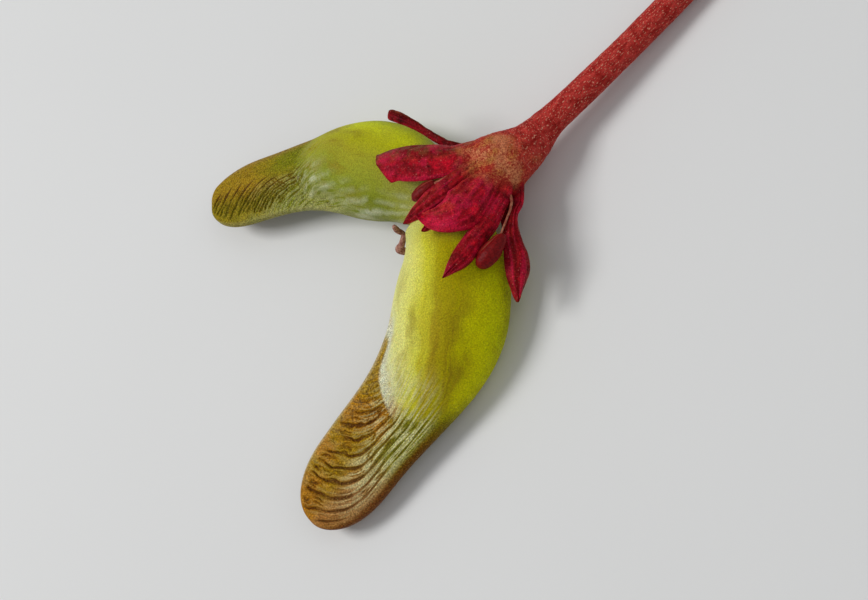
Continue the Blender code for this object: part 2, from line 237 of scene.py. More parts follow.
# Sepals and petals: the way the back faces, how far the end slants towards one edge, how long its
# rounded end is, how high its back is crowned, and stations of x, y, z and half width along the
# middle line, from the root to the tip.
Petal = namedtuple("Petal", "facing slant rounding crown stations")
PETALS = {
    "far_sliver": Petal((0.3, 0.7, 0.6), 0.0, 0.10, 0.02, [
        (3.20, 0.45, 1.70, 0.16),
        (2.75, 0.88, 1.91, 0.10),
        (2.51, 1.27, 2.03, 0.09),
        (2.29, 1.72, 2.13, 0.09),
        (2.06, 2.20, 2.22, 0.13),
        (1.85, 2.56, 2.27, 0.20),
        (1.70, 2.76, 2.29, 0.19),
        (1.61, 2.91, 2.31, 0.09),
    ]),
    "blunt_sepal": Petal((0.2, 0.2, 1.0), 0.26, 0.12, 0.05, [
        (3.85, 0.00, 1.96, 0.38),
        (3.35, 0.08, 2.18, 0.46),
        (2.78, 0.15, 2.51, 0.54),
        (2.29, 0.39, 2.74, 0.61),
        (1.76, 0.70, 2.88, 0.61),
        (1.31, 0.95, 2.96, 0.60),
        (0.97, 1.08, 3.00, 0.57),
        (0.82, 1.14, 3.01, 0.52),
    ]),
    "groove_petal": Petal((0.0, -0.2, 1.0), 0.0, 0.14, 0.06, [
        (3.75, -0.44, 2.10, 0.24),
        (3.17, -0.46, 2.34, 0.28),
        (2.55, -0.64, 2.63, 0.36),
        (1.91, -0.78, 2.86, 0.36),
        (1.41, -0.84, 2.94, 0.26),
        (1.01, -0.85, 2.91, 0.15),
        (0.71, -0.84, 2.81, 0.05),
    ]),
    "broad_sepal": Petal((0.2, -0.5, 0.9), 0.0, 0.14, 0.16, [
        (3.85, -0.74, 1.90, 0.30),
        (3.40, -0.97, 2.16, 0.38),
        (2.98, -1.26, 2.45, 0.55),
        (2.50, -1.55, 2.73, 0.64),
        (2.08, -1.57, 2.88, 0.51),
        (1.72, -1.41, 2.92, 0.37),
        (1.47, -1.16, 2.89, 0.20),
        (1.33, -0.96, 2.85, 0.08),
    ]),
    "tucked_petal": Petal((0.1, -0.3, 1.0), 0.0, 0.10, 0.05, [
        (3.20, -0.85, 2.00, 0.18),
        (2.75, -0.95, 2.30, 0.20),
        (2.27, -1.05, 2.54, 0.21),
        (1.89, -1.23, 2.72, 0.20),
        (1.54, -1.35, 2.84, 0.20),
        (1.27, -1.42, 2.88, 0.11),
        (1.10, -1.45, 2.88, 0.04),
    ]),
    "lance_petal": Petal((0.3, -0.4, 0.9), 0.0, 0.14, 0.08, [
        (3.60, -1.05, 1.75, 0.30),
        (3.42, -1.47, 1.88, 0.28),
        (3.09, -1.77, 2.02, 0.31),
        (2.65, -2.15, 2.21, 0.34),
        (2.12, -2.46, 2.41, 0.31),
        (1.65, -2.73, 2.57, 0.30),
        (1.32, -2.86, 2.67, 0.19),
        (1.08, -2.94, 2.71, 0.08),
        (0.94, -2.98, 2.72, 0.03),
    ]),
    "spoon_petal": Petal((0.8, 0.0, 0.6), 0.0, 0.16, 0.05, [
        (3.80, -1.05, 1.33, 0.30),
        (3.59, -1.75, 1.41, 0.15),
        (3.33, -2.01, 1.49, 0.13),
        (3.14, -2.31, 1.55, 0.19),
        (2.95, -2.78, 1.57, 0.31),
        (2.85, -3.15, 1.55, 0.38),
        (2.69, -3.52, 1.51, 0.39),
        (2.48, -3.79, 1.45, 0.31),
        (2.26, -4.05, 1.37, 0.17),
        (2.07, -4.28, 1.29, 0.04),
    ]),
    "lower_near_petal": Petal((0.3, -0.2, -1.0), 0.0, 0.14, 0.06, [
        (3.20, -0.95, 0.85, 0.20),
        (2.88, -1.50, 0.62, 0.34),
        (2.35, -2.10, 0.50, 0.06),
    ]),
    "lower_petal": Petal((0.2, 0.0, -1.0), 0.0, 0.14, 0.06, [
        (3.15, -0.35, 0.70, 0.24),
        (2.80, -0.38, 0.51, 0.36),
        (2.25, -0.40, 0.45, 0.06),
    ]),
    "lower_far_petal": Petal((0.3, 0.2, -1.0), 0.0, 0.14, 0.06, [
        (3.20, 0.25, 0.85, 0.20),
        (2.82, 0.85, 0.62, 0.30),
        (2.25, 1.40, 0.50, 0.06),
    ]),
}
PETAL_HALF_THICKNESS = 0.12
PETAL_ROUNDING = 0.75  # of the section's edges; lower is squarer
PETAL_WAVE = 0.05  # how uneven the edges are
PETAL_FURROW = 0.035
PETAL_FURROW_REACH = 0.16
RIB_HEIGHT = 0.055
COARSE_GRAIN = 0.020
FINE_GRAIN = 0.012
PETAL_CUP = 0.20  # how far the edges bend towards the fruit, as a share of the half width
PETAL_LIP = {"broad_sepal": 0.22}  # the edge that rolls up beside the tip
PETAL_BRIGHT = {"blunt_sepal": 0.8, "broad_sepal": 1.0, "lance_petal": 0.6, "far_sliver": 0.0}
# How much dark olive lies over one side of each petal: partly its own olive, partly painted shade.
PETAL_DUSK = {"blunt_sepal": 1.0, "far_sliver": 0.8, "groove_petal": 0.3, "broad_sepal": 0.4}

# Petals take on the receptacle's tan, granular skin near its middle.
RECEPTACLE_MIDDLE = np.array([3.65, -0.40, 1.75])

# The colours of a nut across its back, from the inner margin to the outer one.
# The near nut's pale inner side is partly painted highlight, and its browner band past the middle
# partly painted shade.
NEAR_NUT = [
    (0.00, (0.72, 0.71, 0.26)),
    (0.24, (0.72, 0.70, 0.15)),
    (0.42, (0.62, 0.59, 0.030)),
    (0.54, (0.46, 0.40, 0.003)),
    (0.66, (0.43, 0.37, 0.001)),
    (0.82, (0.58, 0.56, 0.001)),
    (1.00, (0.48, 0.51, 0.001)),
]
# The far nut's bright lime band near the outer margin is partly painted highlight.
FAR_NUT = [
    (0.00, (0.17, 0.21, 0.012)),
    (0.25, (0.26, 0.29, 0.020)),
    (0.50, (0.36, 0.35, 0.020)),
    (0.68, (0.48, 0.48, 0.008)),
    (0.84, (0.66, 0.70, 0.004)),
    (1.00, (0.56, 0.62, 0.002)),
]
STREAK_TAN = (0.34, 0.20, 0.016)
# Ochre brown: partly the nut's own streaks, partly painted shade.
OCHRE_AND_SHADE = (0.25, 0.17, 0.006)
SEAM_LIME = (0.50, 0.50, 0.12)
# Whitish wax bloom, also laid on as painted sheen.
WAX_AND_SHEEN = (0.68, 0.71, 0.52)
GOLD_BROWN = (0.40, 0.165, 0.003)
GOLD_OLIVE = (0.35, 0.200, 0.003)
LANE_GREEN = (0.19, 0.18, 0.004)
YOUNG_GREEN = (0.155, 0.175, 0.003)
FAR_GOLD = (0.31, 0.190, 0.008)
LANE_MAUVE = (0.32, 0.155, 0.045)
TIP_ORANGE = (0.34, 0.125, 0.012)
# Pale silver for the crests of the veins: partly their wax, partly painted highlight.
RIDGE_WAX_HIGHLIGHT = (0.62, 0.60, 0.30)
SPARKLE_GOLD = (0.56, 0.40, 0.09)
GROOVE_PURPLE = (0.085, 0.026, 0.003)
GROOVE_OLIVE = (0.080, 0.062, 0.002)
RUST = (0.13, 0.030, 0.002)
RIM_PALE = (0.46, 0.38, 0.21)
EDGE_PINK_TAN = (0.30, 0.18, 0.03)
CRIMSON = (0.44, 0.004, 0.016)
DARK_CRIMSON = (0.15, 0.001, 0.003)
# Dark olive for one side of the petals: partly their own tinge, partly painted shade.
DUSK_OLIVE = (0.14, 0.034, 0.012)
LIP_PINK = (0.46, 0.008, 0.030)
# Pale pink for painted sheen and painted highlight on the petals.
PETAL_SHEEN_PINK = (0.62, 0.012, 0.060)
# Pale pink-white for painted glints on the petals.
PETAL_GLINT = (0.80, 0.26, 0.20)
BASE_TAN = (0.56, 0.20, 0.085)
BASE_OCHRE = (0.46, 0.17, 0.045)
BASE_RED = (0.44, 0.034, 0.022)
STALK_RED = (0.30, 0.012, 0.009)
STALK_PINK = (0.48, 0.040, 0.031)
STALK_TAN = (0.36, 0.10, 0.035)
# Pale flecks on the stalk: partly fine hairs, partly painted glints.
STALK_HAIR_GLINT = (0.70, 0.34, 0.22)
CUT_END = (0.50, 0.42, 0.22)
ANTHER_DARK = (0.13, 0.002, 0.003)
ANTHER_RED = (0.22, 0.005, 0.006)
FILAMENT_PINK = (0.28, 0.050, 0.030)
FILAMENT_PALE = (0.44, 0.16, 0.085)
STYLE_BROWN = (0.22, 0.070, 0.050)
STYLE_PINK = (0.52, 0.27, 0.20)
FLOOR_GREY = (0.72, 0.72, 0.71)
FLOOR_PALE = (0.76, 0.76, 0.75)

# How strong the brown streaks are, and where the green coat sets in, from the nut's edge (0) to
# its middle (1).
NEAR_STREAKS = 0.70
FAR_STREAKS = 0.25
NEAR_COAT = (0.20, 0.48)
FAR_COAT = (0.04, 0.68)

# How the skins let light in and how glossy they are.
SEED_FLESH = {
    "Subsurface Weight": 0.08,
    "Subsurface Scale": 0.0002,
    "Specular IOR Level": 0.05,
}
RED_FLESH = {
    "Subsurface Weight": 0.05,
    "Subsurface Scale": 0.00012,
    "Specular IOR Level": 0.06,
}

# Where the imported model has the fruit's own origin.
near_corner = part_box("winged_seed_near")[1]
SEAM_FACE = SEAM_Y - JOINT_GAP / 2
ORIGIN = np.array([near_corner.x / MM - FRUIT_BASE, near_corner.y / MM - SEAM_FACE, 0.0])

# The camera, in the fruit's frame.
CAMERA_AT = (19.928, -29.695, 49.534)
CAMERA_AZIMUTH = 36.584  # degrees
CAMERA_ELEVATION = 55.0
CAMERA_ROLL = -68.7
FOCAL_LENGTH = 82.95
SENSOR_WIDTH = 36.0

# The lamps: the way to each, its distance and size in millimetres, and its power in watts.
LAMPS = {
    "key": ((-0.48, 0.32, 0.88), 220, 90, 0.29),
    "fill": ((0.75, -0.35, 0.80), 220, 160, 0.06),
}
LIT_POINT = (1.0, -0.5, 0.5)
SKY = (0.95, 0.97, 1.0, 1.0)
SKY_STRENGTH = 0.32
FLOOR_REACH = 0.4  # metres


# Shapes.


def step_between(t, start, end):
    """0 up to start, 1 from end, and an even S between."""
    t = np.clip((t - start) / (end - start), 0.0, 1.0)
    return t * t * (3 - 2 * t)


def smooth_max(a, b, blend):
    """The larger of two numbers, with the step between them rounded off."""
    mix = np.clip(0.5 + (a - b) / (2 * blend), 0.0, 1.0)
    return b + (a - b) * mix + blend * mix * (1 - mix)


def noise_at(points, scale, shift=0.0):
    """Smooth noise from -1 to 1 at an array of points."""
    places = (points.reshape(-1, 3) * scale + shift).tolist()
    return np.array([noise.noise(place) for place in places]).reshape(points.shape[:-1])


def fading(plan, scale, shift, level, swing, most=1.0, least=0.0):
    """A strength that rises and falls with noise round a level, within limits."""
    return np.clip(level + swing * noise_at(plan, scale, shift), least, most)


def unit(vectors):
    return vectors / np.linalg.norm(vectors, axis=-1, keepdims=True)


def heading_at(share, seed):
    """Which way the centreline runs, in radians off -X."""
    turned = step_between(share, *HEADING_TURN)
    spread = seed["tip_heading"] - seed["seam_heading"]
    return np.radians(seed["seam_heading"] + spread * turned)


def centre_at(share, seed):
    """The centreline's points in plan, summed from the seam outwards."""
    x = np.full(share.shape, SEAM_START)
    y = np.zeros(share.shape)
    step = share * seed["length"] / CENTRE_STEPS
    for i in range(CENTRE_STEPS):
        heading = heading_at((i + 0.5) / CENTRE_STEPS * share, seed)
        x -= np.cos(heading) * step
        y += seed["side"] * np.sin(heading) * step
    return x, y


def half_breadth_at(share):
    swell = NUT_SWELL * np.exp(-(((share - NUT_SWELL_AT) / NUT_SWELL_REACH) ** 2))
    left = np.clip((share - TIP_START) / (1 - TIP_START), 0.0, 1.0)
    return (WING_HALF_BREADTH + swell) * np.sqrt(1 - left**TIP_POWER)


def inside_nut(share, across, breadth):
    """1 at the middle of the plump seed, falling to 0 at its edge."""
    reach = np.where(share > NUT_AT, NUT_REACH, NUT_REACH_BACK)
    along_nut = (share - NUT_AT) / reach
    drift = NUT_DRIFT * np.maximum(0.0, along_nut)
    across_nut = (across * breadth + NUT_OFFSET - drift) / NUT_HALF_BREADTH
    inside = np.maximum(0.0, 1 - along_nut**2 - across_nut**2)
    membrane = step_between(share, *MEMBRANE_ALONG) * step_between(-across, *MEMBRANE_ACROSS)
    return inside * (1 - membrane)


def half_thickness_at(across, inside, upper):
    nut = np.where(upper, NUT_HEIGHT, NUT_DEPTH) * inside**NUT_POWER
    ridge = (OUTER_HALF_THICKNESS - INNER_HALF_THICKNESS) * step_between(across, *RIDGE_ACROSS)
    return smooth_max(nut, INNER_HALF_THICKNESS + ridge, NUT_BLEND)


def vein_through(share, across, bend):
    """Which vein runs through a point, found by halving: a vein's share falls back from where
    it meets the inner margin, faster and faster as it nears its own lane."""
    low = LANE_MEETS + (across - LANE_ACROSS) / LANE_SPREAD
    high = low + 2.0
    for _ in range(30):
        middle = (low + high) / 2
        lane = LANE_ACROSS + LANE_SPREAD * (middle - LANE_MEETS)
        left = np.maximum(1 - (1 + across) / (1 + lane), 1e-9)
        beyond = middle + bend * np.log(left) > share
        high = np.where(beyond, middle, high)
        low = np.where(beyond, low, middle)
    return (low + high) / 2


def groove_profile(turns, sharpness):
    """1 at the bottom of a groove and 0 on the crests, for grooves one turn apart."""
    return (0.5 - 0.5 * np.cos(2 * np.pi * turns)) ** sharpness


def vein_grooves(seed, vein, across, inside, plan):
    """How deep in a groove between two veins each point lies, from 0 to 1. The main grooves
    stray and fade, and forks and finer grooves join them on the inner side."""
    inner = step_between(-across, -0.25, 0.45)
    stray = 0.28 * noise_at(plan, 0.9) + (0.07 + 0.20 * inner) * noise_at(plan, 3.0, 7.0)
    turns = vein / seed["vein_gap"] + stray + 0.12 * inner * noise_at(plan, 8.0, 3.0)
    main = groove_profile(turns, 4.6) * fading(plan, 2.1, 21.0, 0.85, 0.7, least=0.30)
    split = 0.22 * noise_at(plan, 2.1, 33.0)
    fork = groove_profile(2 * turns + 0.5 + split, 2.2) * (0.30 + 0.70 * inner)
    fork *= fading(plan, 1.9, 43.0, 0.62, 1.5, most=0.9)
    hair = groove_profile(4 * turns + 2 * split, 1.8)
    hair *= fading(plan, 2.7, 57.0, 0.25, 1.6, most=0.7)
    groove = np.maximum(np.maximum(main, fork), hair)
    end_at = 0.86 + 0.16 * noise_at(plan, 3.0, 67.0)
    groove *= 1 - step_between(-across, end_at - 0.20, end_at)
    groove *= 1 - step_between(across, 0.66, 0.90)
    groove *= 1 - (1 - seed["lane_grooves"]) * step_between(across, -0.10, 0.45)
    groove *= 1 - step_between(inside, 0.30, 0.78)
    return groove * (0.45 + 0.55 * step_between(vein, 0.62, 0.74))


def ripples(seed, share, across, inside, plan):
    """Low lengthwise folds on the smaller seed, where its plump part runs out into the wing."""
    if seed["side"] < 0:
        return np.zeros(share.shape)
    slope = step_between(inside, 0.0, 0.15) * (1 - step_between(inside, 0.55, 0.95))
    inner = 1 - step_between(across, 0.10, 0.60)
    turns = 4.0 * across + 7.0 * share + 1.1 * noise_at(plan, 1.0, 51.0)
    fade = fading(plan, 1.1, 81.0, 0.55, 1.4)
    return slope * inner * fade * groove_profile(turns, 1.0)


def vein_net(vein, across, inside, plan):
    """The fine net of cross veins over the young part of the membrane, from 0 to 1."""
    net = 1 - step_between(np.abs(noise_at(plan, 3.6, 91.0)), 0.0, 0.14)
    finer = 1 - step_between(np.abs(noise_at(plan, 6.5, 77.0)), 0.0, 0.16)
    net = np.maximum(net, 0.6 * finer)
    blade = 1 - step_between(inside, 0.02, 0.14)
    young = 0.30 + 0.70 * (1 - step_between(vein, 0.68, 0.86))
    inner = 1 - step_between(across, -0.10, 0.35)
    return net * blade * young * inner * step_between(1 - across**2, 0.04, 0.25)


def seed_grid():
    """A winged seed's grid: the share of the length, the place across from the inner margin (-1)
    to the outer one (1), and the sine of the way round the section."""
    rows = np.concatenate([
        np.linspace(SEED_START, WING_START, NUT_ROWS, endpoint=False),
        np.linspace(WING_START, TIP_ROWS_FROM, WING_ROWS, endpoint=False),
        1 - (1 - TIP_ROWS_FROM) * (1 - np.linspace(0.0, 0.99, TIP_ROWS)) ** 2,
    ])
    angles = 2 * math.pi * np.arange(SEED_COLUMNS) / SEED_COLUMNS
    row, angle = np.meshgrid(rows, angles, indexing="ij")
    across = np.cos(angle)
    curl = 1 - ((1 + across) / 2) ** ROW_CURL
    sweep = ROW_SWEEP * step_between(row, *SWEEP_GROWS) * (1 - row)
    return np.minimum(1.0, row + sweep * curl), across, np.sin(angle)


def seed_relief(seed, share, across, out, inside, upper):
    """How much veins, fibres and folds add to the thickness, and where they lie."""
    plan = np.stack([share * seed["length"], out, 4.0 * upper + 9.0 * (seed["side"] > 0)], -1)
    vein = vein_through(share, across, seed["bend"])
    tip = 1 - step_between(share, *RELIEF_ENDS)
    groove = vein_grooves(seed, vein, across, inside, plan) * tip
    net = vein_net(vein, across, inside, plan) * tip
    fold = ripples(seed, share, across, inside, plan) * upper
    lane = step_between(across, -0.15, 0.40)
    fibres = noise_at(np.stack([vein * 70, share * 9, 1.0 * upper], -1), 1.0, 13.0)
    swell = noise_at(plan, 0.9, 5.0) * step_between(inside, 0.1, 0.5)
    relief = FOLD_HEIGHT * fold - NET_DEPTH * net + SWELL_HEIGHT * swell
    relief -= GROOVE_DEPTH * groove * (1 + (LANE_GROOVE_SHARE - 1) * lane)
    relief += FIBRE_HEIGHT * fibres * tip * (1 - step_between(inside, 0.3, 0.6))
    ridged = (1 - step_between(inside, 0.35, 0.80)) * (1 - step_between(across, 0.70, 0.92))
    values = {"groove": groove, "net": net, "vein": vein, "fold": fold, "ridged": ridged * tip}
    return relief, values


def seed_rings(seed):
    """The winged seed's points, ring by ring, and what its material needs to know of them."""
    share, across, sine = seed_grid()
    x, y = centre_at(share, seed)
    heading = heading_at(share, seed)
    breadth = half_breadth_at(share)
    leaning = step_between(share, *LEAN_GROWS) * (1 - step_between(share, *LEAN_ENDS))
    out = (seed["lean"] * leaning + breadth * across) * seed["breadth"]
    out += CLEFT_PINCH * (1 - step_between(share, *PINCH_ENDS)) * (1 - across) / 2
    inside = inside_nut(share, across, breadth)
    relief, values = seed_relief(seed, share, across, out, inside, sine > 0)

    # The tip thins out, and both halves dip along their seam.
    thickness = half_thickness_at(across, inside, sine > 0) + relief
    end = np.clip((share - THIN_FROM) / (1 - THIN_FROM), 0.0, 1.0)
    thickness *= np.sqrt(1 - end**2)
    from_seam = seed["side"] * (y - SEAM_Y) + np.cos(heading) * out
    thickness *= 1 - SEAM_GROOVE * (1 - step_between(from_seam, 0.0, SEAM_GROOVE_REACH))
    changed = step_between(share, *ROUNDING_CHANGES)
    rounding = SEAM_ROUNDING + (WING_ROUNDING - SEAM_ROUNDING) * changed
    up = thickness * np.sign(sine) * np.abs(sine) ** rounding

    # The wing rolls and droops as it leaves the nut.
    roll = math.radians(WING_ROLL) * step_between(share, *ROLL_GROWS)
    level = out * np.cos(roll) + up * np.sin(roll)
    rise = SEAM_RISE * (1 - step_between(share, *RISE_ENDS))
    droop = WING_DROOP * step_between(share, *DROOP_GROWS)
    z = SEAM_HEIGHT + rise - droop - out * np.sin(roll) + up * np.cos(roll)
    sideways = seed["side"] * np.cos(heading) * level
    points = np.stack([x + np.sin(heading) * level, y + sideways, z], -1)
    return points, {"share": share, "across": across, "inside": inside, **values}


def smooth_stations(stations, where):
    """Points and radii at places on a smooth curve through the stations, counted in stations."""
    known = np.array(stations)
    known = np.vstack([2 * known[0] - known[1], known, 2 * known[-1] - known[-2]])
    first = np.minimum(where.astype(int), len(stations) - 2)
    t = (where - first)[:, None]
    a, b, c, d = (known[first + i] for i in range(4))
    curve = 2 * b + (c - a) * t + (2 * a - 5 * b + 4 * c - d) * t**2
    curve = 0.5 * (curve + (3 * b - a - 3 * c + d) * t**3)
    return curve[:, :3], np.maximum(curve[:, 3], 0.01)


def length_along(path):
    """How far each point of a path lies from its start."""
    steps = np.linalg.norm(np.diff(path, axis=0), axis=1)
    return np.concatenate([[0.0], np.cumsum(steps)])


def petal_lift(petal, t, across, sine, width, rounded, shift):
    """How far a petal's skin stands off its middle line: the blade is crowned, its edges bend
    down unevenly, and a faint furrow runs along its back."""
    grown = step_between(t, 0.0, 0.3)
    lift = PETAL_HALF_THICKNESS * np.sign(sine) * np.abs(sine) ** PETAL_ROUNDING
    lift = lift * (0.35 + 0.65 * rounded)
    lift += petal.crown * grown * (1 - across**2) - PETAL_CUP * width * across**2
    lift -= PETAL_FURROW * grown * np.exp(-((across / PETAL_FURROW_REACH) ** 2)) * (sine > 0)
    uneven = noise_at(np.stack([t * 4, across * 1.5, 0 * t], -1), 1.0, shift + 3.0)
    return lift + PETAL_WAVE * uneven * np.abs(across)


def petal_rings(name, petal, shift):
    """A sepal or petal: a thin ribbed blade with a rounded end, wavy edges and, on one of them,
    an edge that rolls up beside the tip."""
    rows = 1 - (1 - np.linspace(0.0, 1.0, PETAL_ROWS)) ** 1.4  # closer together at the tip
    path, width = smooth_stations(petal.stations, rows * (len(petal.stations) - 1))
    length = length_along(path)
    left = np.clip((length[-1] - length) / petal.rounding, 0.0, 1.0)
    rounded = np.sqrt(np.maximum(1 - (1 - left) ** 2, 0.004))[:, None]
    width = width[:, None]
    forward = unit(np.gradient(path, axis=0))
    side = unit(np.cross(forward, np.array(petal.facing)))
    back = np.cross(side, forward)

    angles = 2 * math.pi * np.arange(PETAL_COLUMNS) / PETAL_COLUMNS
    t, angle = np.meshgrid(length / length[-1], angles, indexing="ij")
    across = np.cos(angle)
    sine = np.sin(angle)
    wave = 1 + PETAL_WAVE * noise_at(np.stack([t * 5, np.sign(across), 0 * t], -1), 1.0, shift)
    out = width * rounded * across * wave
    lip_height = PETAL_LIP.get(name, 0.0)
    lip = lip_height * step_between(t, 0.42, 0.80) * step_between(-across, 0.35, 0.95)
    hollow = 0.6 * lip_height * step_between(t, 0.60, 0.95) * (1 - np.abs(across))
    up = petal_lift(petal, t, across, sine, width, rounded, shift) + lip - hollow
    slanted = petal.slant * step_between(t, 0.3, 1.0) * across * rounded
    points = path[:, None] + side[:, None] * out[..., None] + back[:, None] * up[..., None]
    points += forward[:, None] * slanted[..., None]
    rib = noise_at(np.stack([t * 2.0, across * 3.6, 0 * t], -1), 1.0, shift + 8.0)
    rib *= step_between(t, 0.0, 0.3)
    grain = COARSE_GRAIN * noise_at(points, 6.0, shift) + FINE_GRAIN * noise_at(points, 14.0, shift)
    points += back[:, None] * ((RIB_HEIGHT * rib + grain) * np.abs(sine))[..., None]

    from_middle = np.linalg.norm(points - RECEPTACLE_MIDDLE, axis=-1)
    values = {
        "along": t,
        "across": across,
        "rib": rib,
        "root": 1 - step_between(from_middle, 0.55, 1.45),
        "bright": np.full(t.shape, PETAL_BRIGHT.get(name, 0.35)),
        "dusk": PETAL_DUSK.get(name, 0.15) * step_between(across, -0.35, 0.45),
        "lip": lip / max(PETAL_LIP.values()),
    }
    return points, values


def tube_rings(stations, rows, columns, section=None):
    """Rings round a smooth path; section says how far out each angle lies."""
    path, radius = smooth_stations(stations, np.linspace(0, len(stations) - 1, rows))
    forward = unit(np.gradient(path, axis=0))
    side = unit(np.cross(forward, np.array([0.0, 0.0, 1.0])))
    up = np.cross(side, forward)
    angle = 2 * math.pi * np.arange(columns) / columns
    out = np.ones(columns) if section is None else section(angle)
    out = radius[:, None] * out[None, :]
    points = path[:, None] + side[:, None] * (out * np.cos(angle))[..., None]
    points = points + up[:, None] * (out * np.sin(angle))[..., None]
    normal = side[:, None] * np.cos(angle)[:, None] + up[:, None] * np.sin(angle)[:, None]
    length = length_along(path)
    along = np.repeat((length / length[-1])[:, None], columns, axis=1)
    turn = np.repeat(angle[None, :], rows, axis=0)
    return points, normal, along, turn


def two_lobes(angle):
    """An anther's section: two lobes with a furrow between them."""
    return 0.66 + 0.34 * np.abs(np.cos(angle + 0.6)) ** 0.6


# Meshes.


def ring_faces(rows, columns):
    index = np.arange(rows * columns).reshape(rows, columns)
    after = np.roll(index, -1, axis=1)
    quads = np.stack([index[:-1], after[:-1], after[1:], index[1:]], -1).reshape(-1, 4)
    return quads.tolist() + [index[0][::-1].tolist(), index[-1].tolist()]


def add_object(name, data):
    thing = bpy.data.objects.new(name, data)
    bpy.context.scene.collection.objects.link(thing)
    return thing


def to_metres(point):
    return Vector((np.array(point) + ORIGIN) * MM)


def cut_flat(bm, point, normal):
    """Cuts away what lies on the normal's side of a plane and closes the cut."""
    geometry = bm.verts[:] + bm.edges[:] + bm.faces[:]
    bmesh.ops.bisect_plane(
        bm, geom=geometry, plane_co=point, plane_no=normal, dist=1e-8, clear_outer=True
    )
    open_edges = [edge for edge in bm.edges if edge.is_boundary]
    for face in bmesh.ops.holes_fill(bm, edges=open_edges)["faces"]:
        face.smooth = False


def add_piece(name, points, values, shader, node, cuts=()):
    """Adds a piece made of rings of points that stands for one of the CAD model's nodes."""
    mesh = bpy.data.meshes.new(name)
    placed = (points.reshape(-1, 3) + ORIGIN) * MM
    mesh.from_pydata(placed.tolist(), [], ring_faces(*points.shape[:2]))
    for key, array in values.items():
        layer = mesh.attributes.new(key, "FLOAT", "POINT")
        layer.data.foreach_set("value", array.astype(np.float32).ravel())
    mesh.shade_smooth()
    bm = bmesh.new()
    bm.from_mesh(mesh)
    for point, normal in cuts:
        cut_flat(bm, to_metres(point), Vector(normal))
    bmesh.ops.recalc_face_normals(bm, faces=bm.faces)
    bm.to_mesh(mesh)
    bm.free()
    mesh.materials.append(shader)
    piece = add_object(name, mesh)
    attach(piece, "root")
    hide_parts(node)


# Materials.


class Skin:
    """One Principled material, built by passing sockets from call to call."""

    def __init__(self, name):
        self.material = bpy.data.materials.new(name)
        self.material.use_nodes = True
        self.tree = self.material.node_tree
        self.shader = self.tree.nodes["Principled BSDF"]
        place = self.add("TexCoord").outputs["Object"]
        scaled = self.add("VectorMath", {0: place, "Scale": 1 / MM}, operation="SCALE")
        self.place = scaled.outputs[0]

    def add(self, kind, inputs=None, **settings):
        node = self.tree.nodes.new("ShaderNode" + kind)
        for key, value in settings.items():
            setattr(node, key, value)
        for key, value in (inputs or {}).items():
            self.give(node.inputs[key], value)
        return node

    def give(self, socket, value):
        if isinstance(value, bpy.types.NodeSocket):
            self.tree.links.new(value, socket)
        elif isinstance(value, tuple) and socket.type == "RGBA":
            socket.default_value = (*value, 1.0)
        else:
            socket.default_value = value

    def value(self, name):
        """A number that the mesh carries at each of its points."""
        return self.add("Attribute", attribute_name=name).outputs["Fac"]

    def maths(self, operation, a, b=0.0, c=0.0):
        return self.add("Math", {0: a, 1: b, 2: c}, operation=operation).outputs[0]

    def offset(self, value, pattern, amount):
        """A value pushed up or down by so much of a pattern."""
        return self.maths("MULTIPLY_ADD", pattern, amount, value)

    def product(self, first, *others):
        for other in others:
            first = self.maths("MULTIPLY", first, other)
        return first

    def step(self, value, start, end):
        """0 at start and before it, 1 at end and beyond; start may be the higher of the two."""
        inputs = {"Value": value, "From Min": start, "From Max": end}
        return self.add("MapRange", inputs, interpolation_type="SMOOTHSTEP").outputs["Result"]

    def band(self, value, centre, reach):
        """1 at the centre, falling evenly to 0 at reach on either side."""
        apart = self.maths("ABSOLUTE", self.maths("SUBTRACT", value, centre))
        return self.step(apart, reach, 0.0)

    def noise(self, scale, detail=2.0, place=None):
        """Noise of about 0.5, with its scale per millimetre."""
        inputs = {"Vector": place or self.place, "Scale": scale, "Detail": detail}
        return self.add("TexNoise", inputs).outputs["Fac"]

    def streaks(self, first, first_scale, second, second_scale, detail=3.0):
        """Noise over two of the mesh's own numbers, each with its own scale."""
        x = self.maths("MULTIPLY", first, first_scale)
        y = self.maths("MULTIPLY", second, second_scale)
        return self.noise(1.0, detail, self.add("CombineXYZ", {"X": x, "Y": y}).outputs[0])

    def cells(self, scale):
        return self.add("TexVoronoi", {"Vector": self.place, "Scale": scale}).outputs["Distance"]

    def mix(self, share, a, b, blend="MIX"):
        node = self.add("Mix", data_type="RGBA", blend_type=blend)
        self.give(node.inputs["Factor"], share)
        self.give(node.inputs[6], a)
        self.give(node.inputs[7], b)
        return node.outputs[2]

    def paint(self, colour, coat, share, strength):
        """Lays a coat over a colour, at the given strength where share is 1."""
        return self.mix(self.maths("MULTIPLY", share, strength), colour, coat)

    def vary(self, colour, pattern, amount):
        """Makes a colour lighter and darker with a pattern that is 0.5 on average."""
        gain = self.offset(1 - amount, pattern, 2 * amount)
        return self.mix(1.0, colour, gain, "MULTIPLY")

    def ramp(self, value, stops):
        node = self.add("ValToRGB", {"Fac": value})
        elements = node.color_ramp.elements
        while len(elements) < len(stops):
            elements.new(1.0)
        for element, (at, colour) in zip(elements, stops):
            element.position = at
            element.color = (*colour, 1.0)
        return node.outputs["Color"]

    def bump(self, height, distance, normal=None):
        inputs = {"Height": height, "Distance": distance * MM}
        if normal is not None:
            inputs["Normal"] = normal
        return self.add("Bump", inputs).outputs["Normal"]

    def finish(self, colour, roughness, normal, constants):
        self.give(self.shader.inputs["Base Color"], colour)
        self.give(self.shader.inputs["Roughness"], roughness)
        self.give(self.shader.inputs["Normal"], normal)
        for key, value in constants.items():
            self.shader.inputs[key].default_value = value
        return self.material


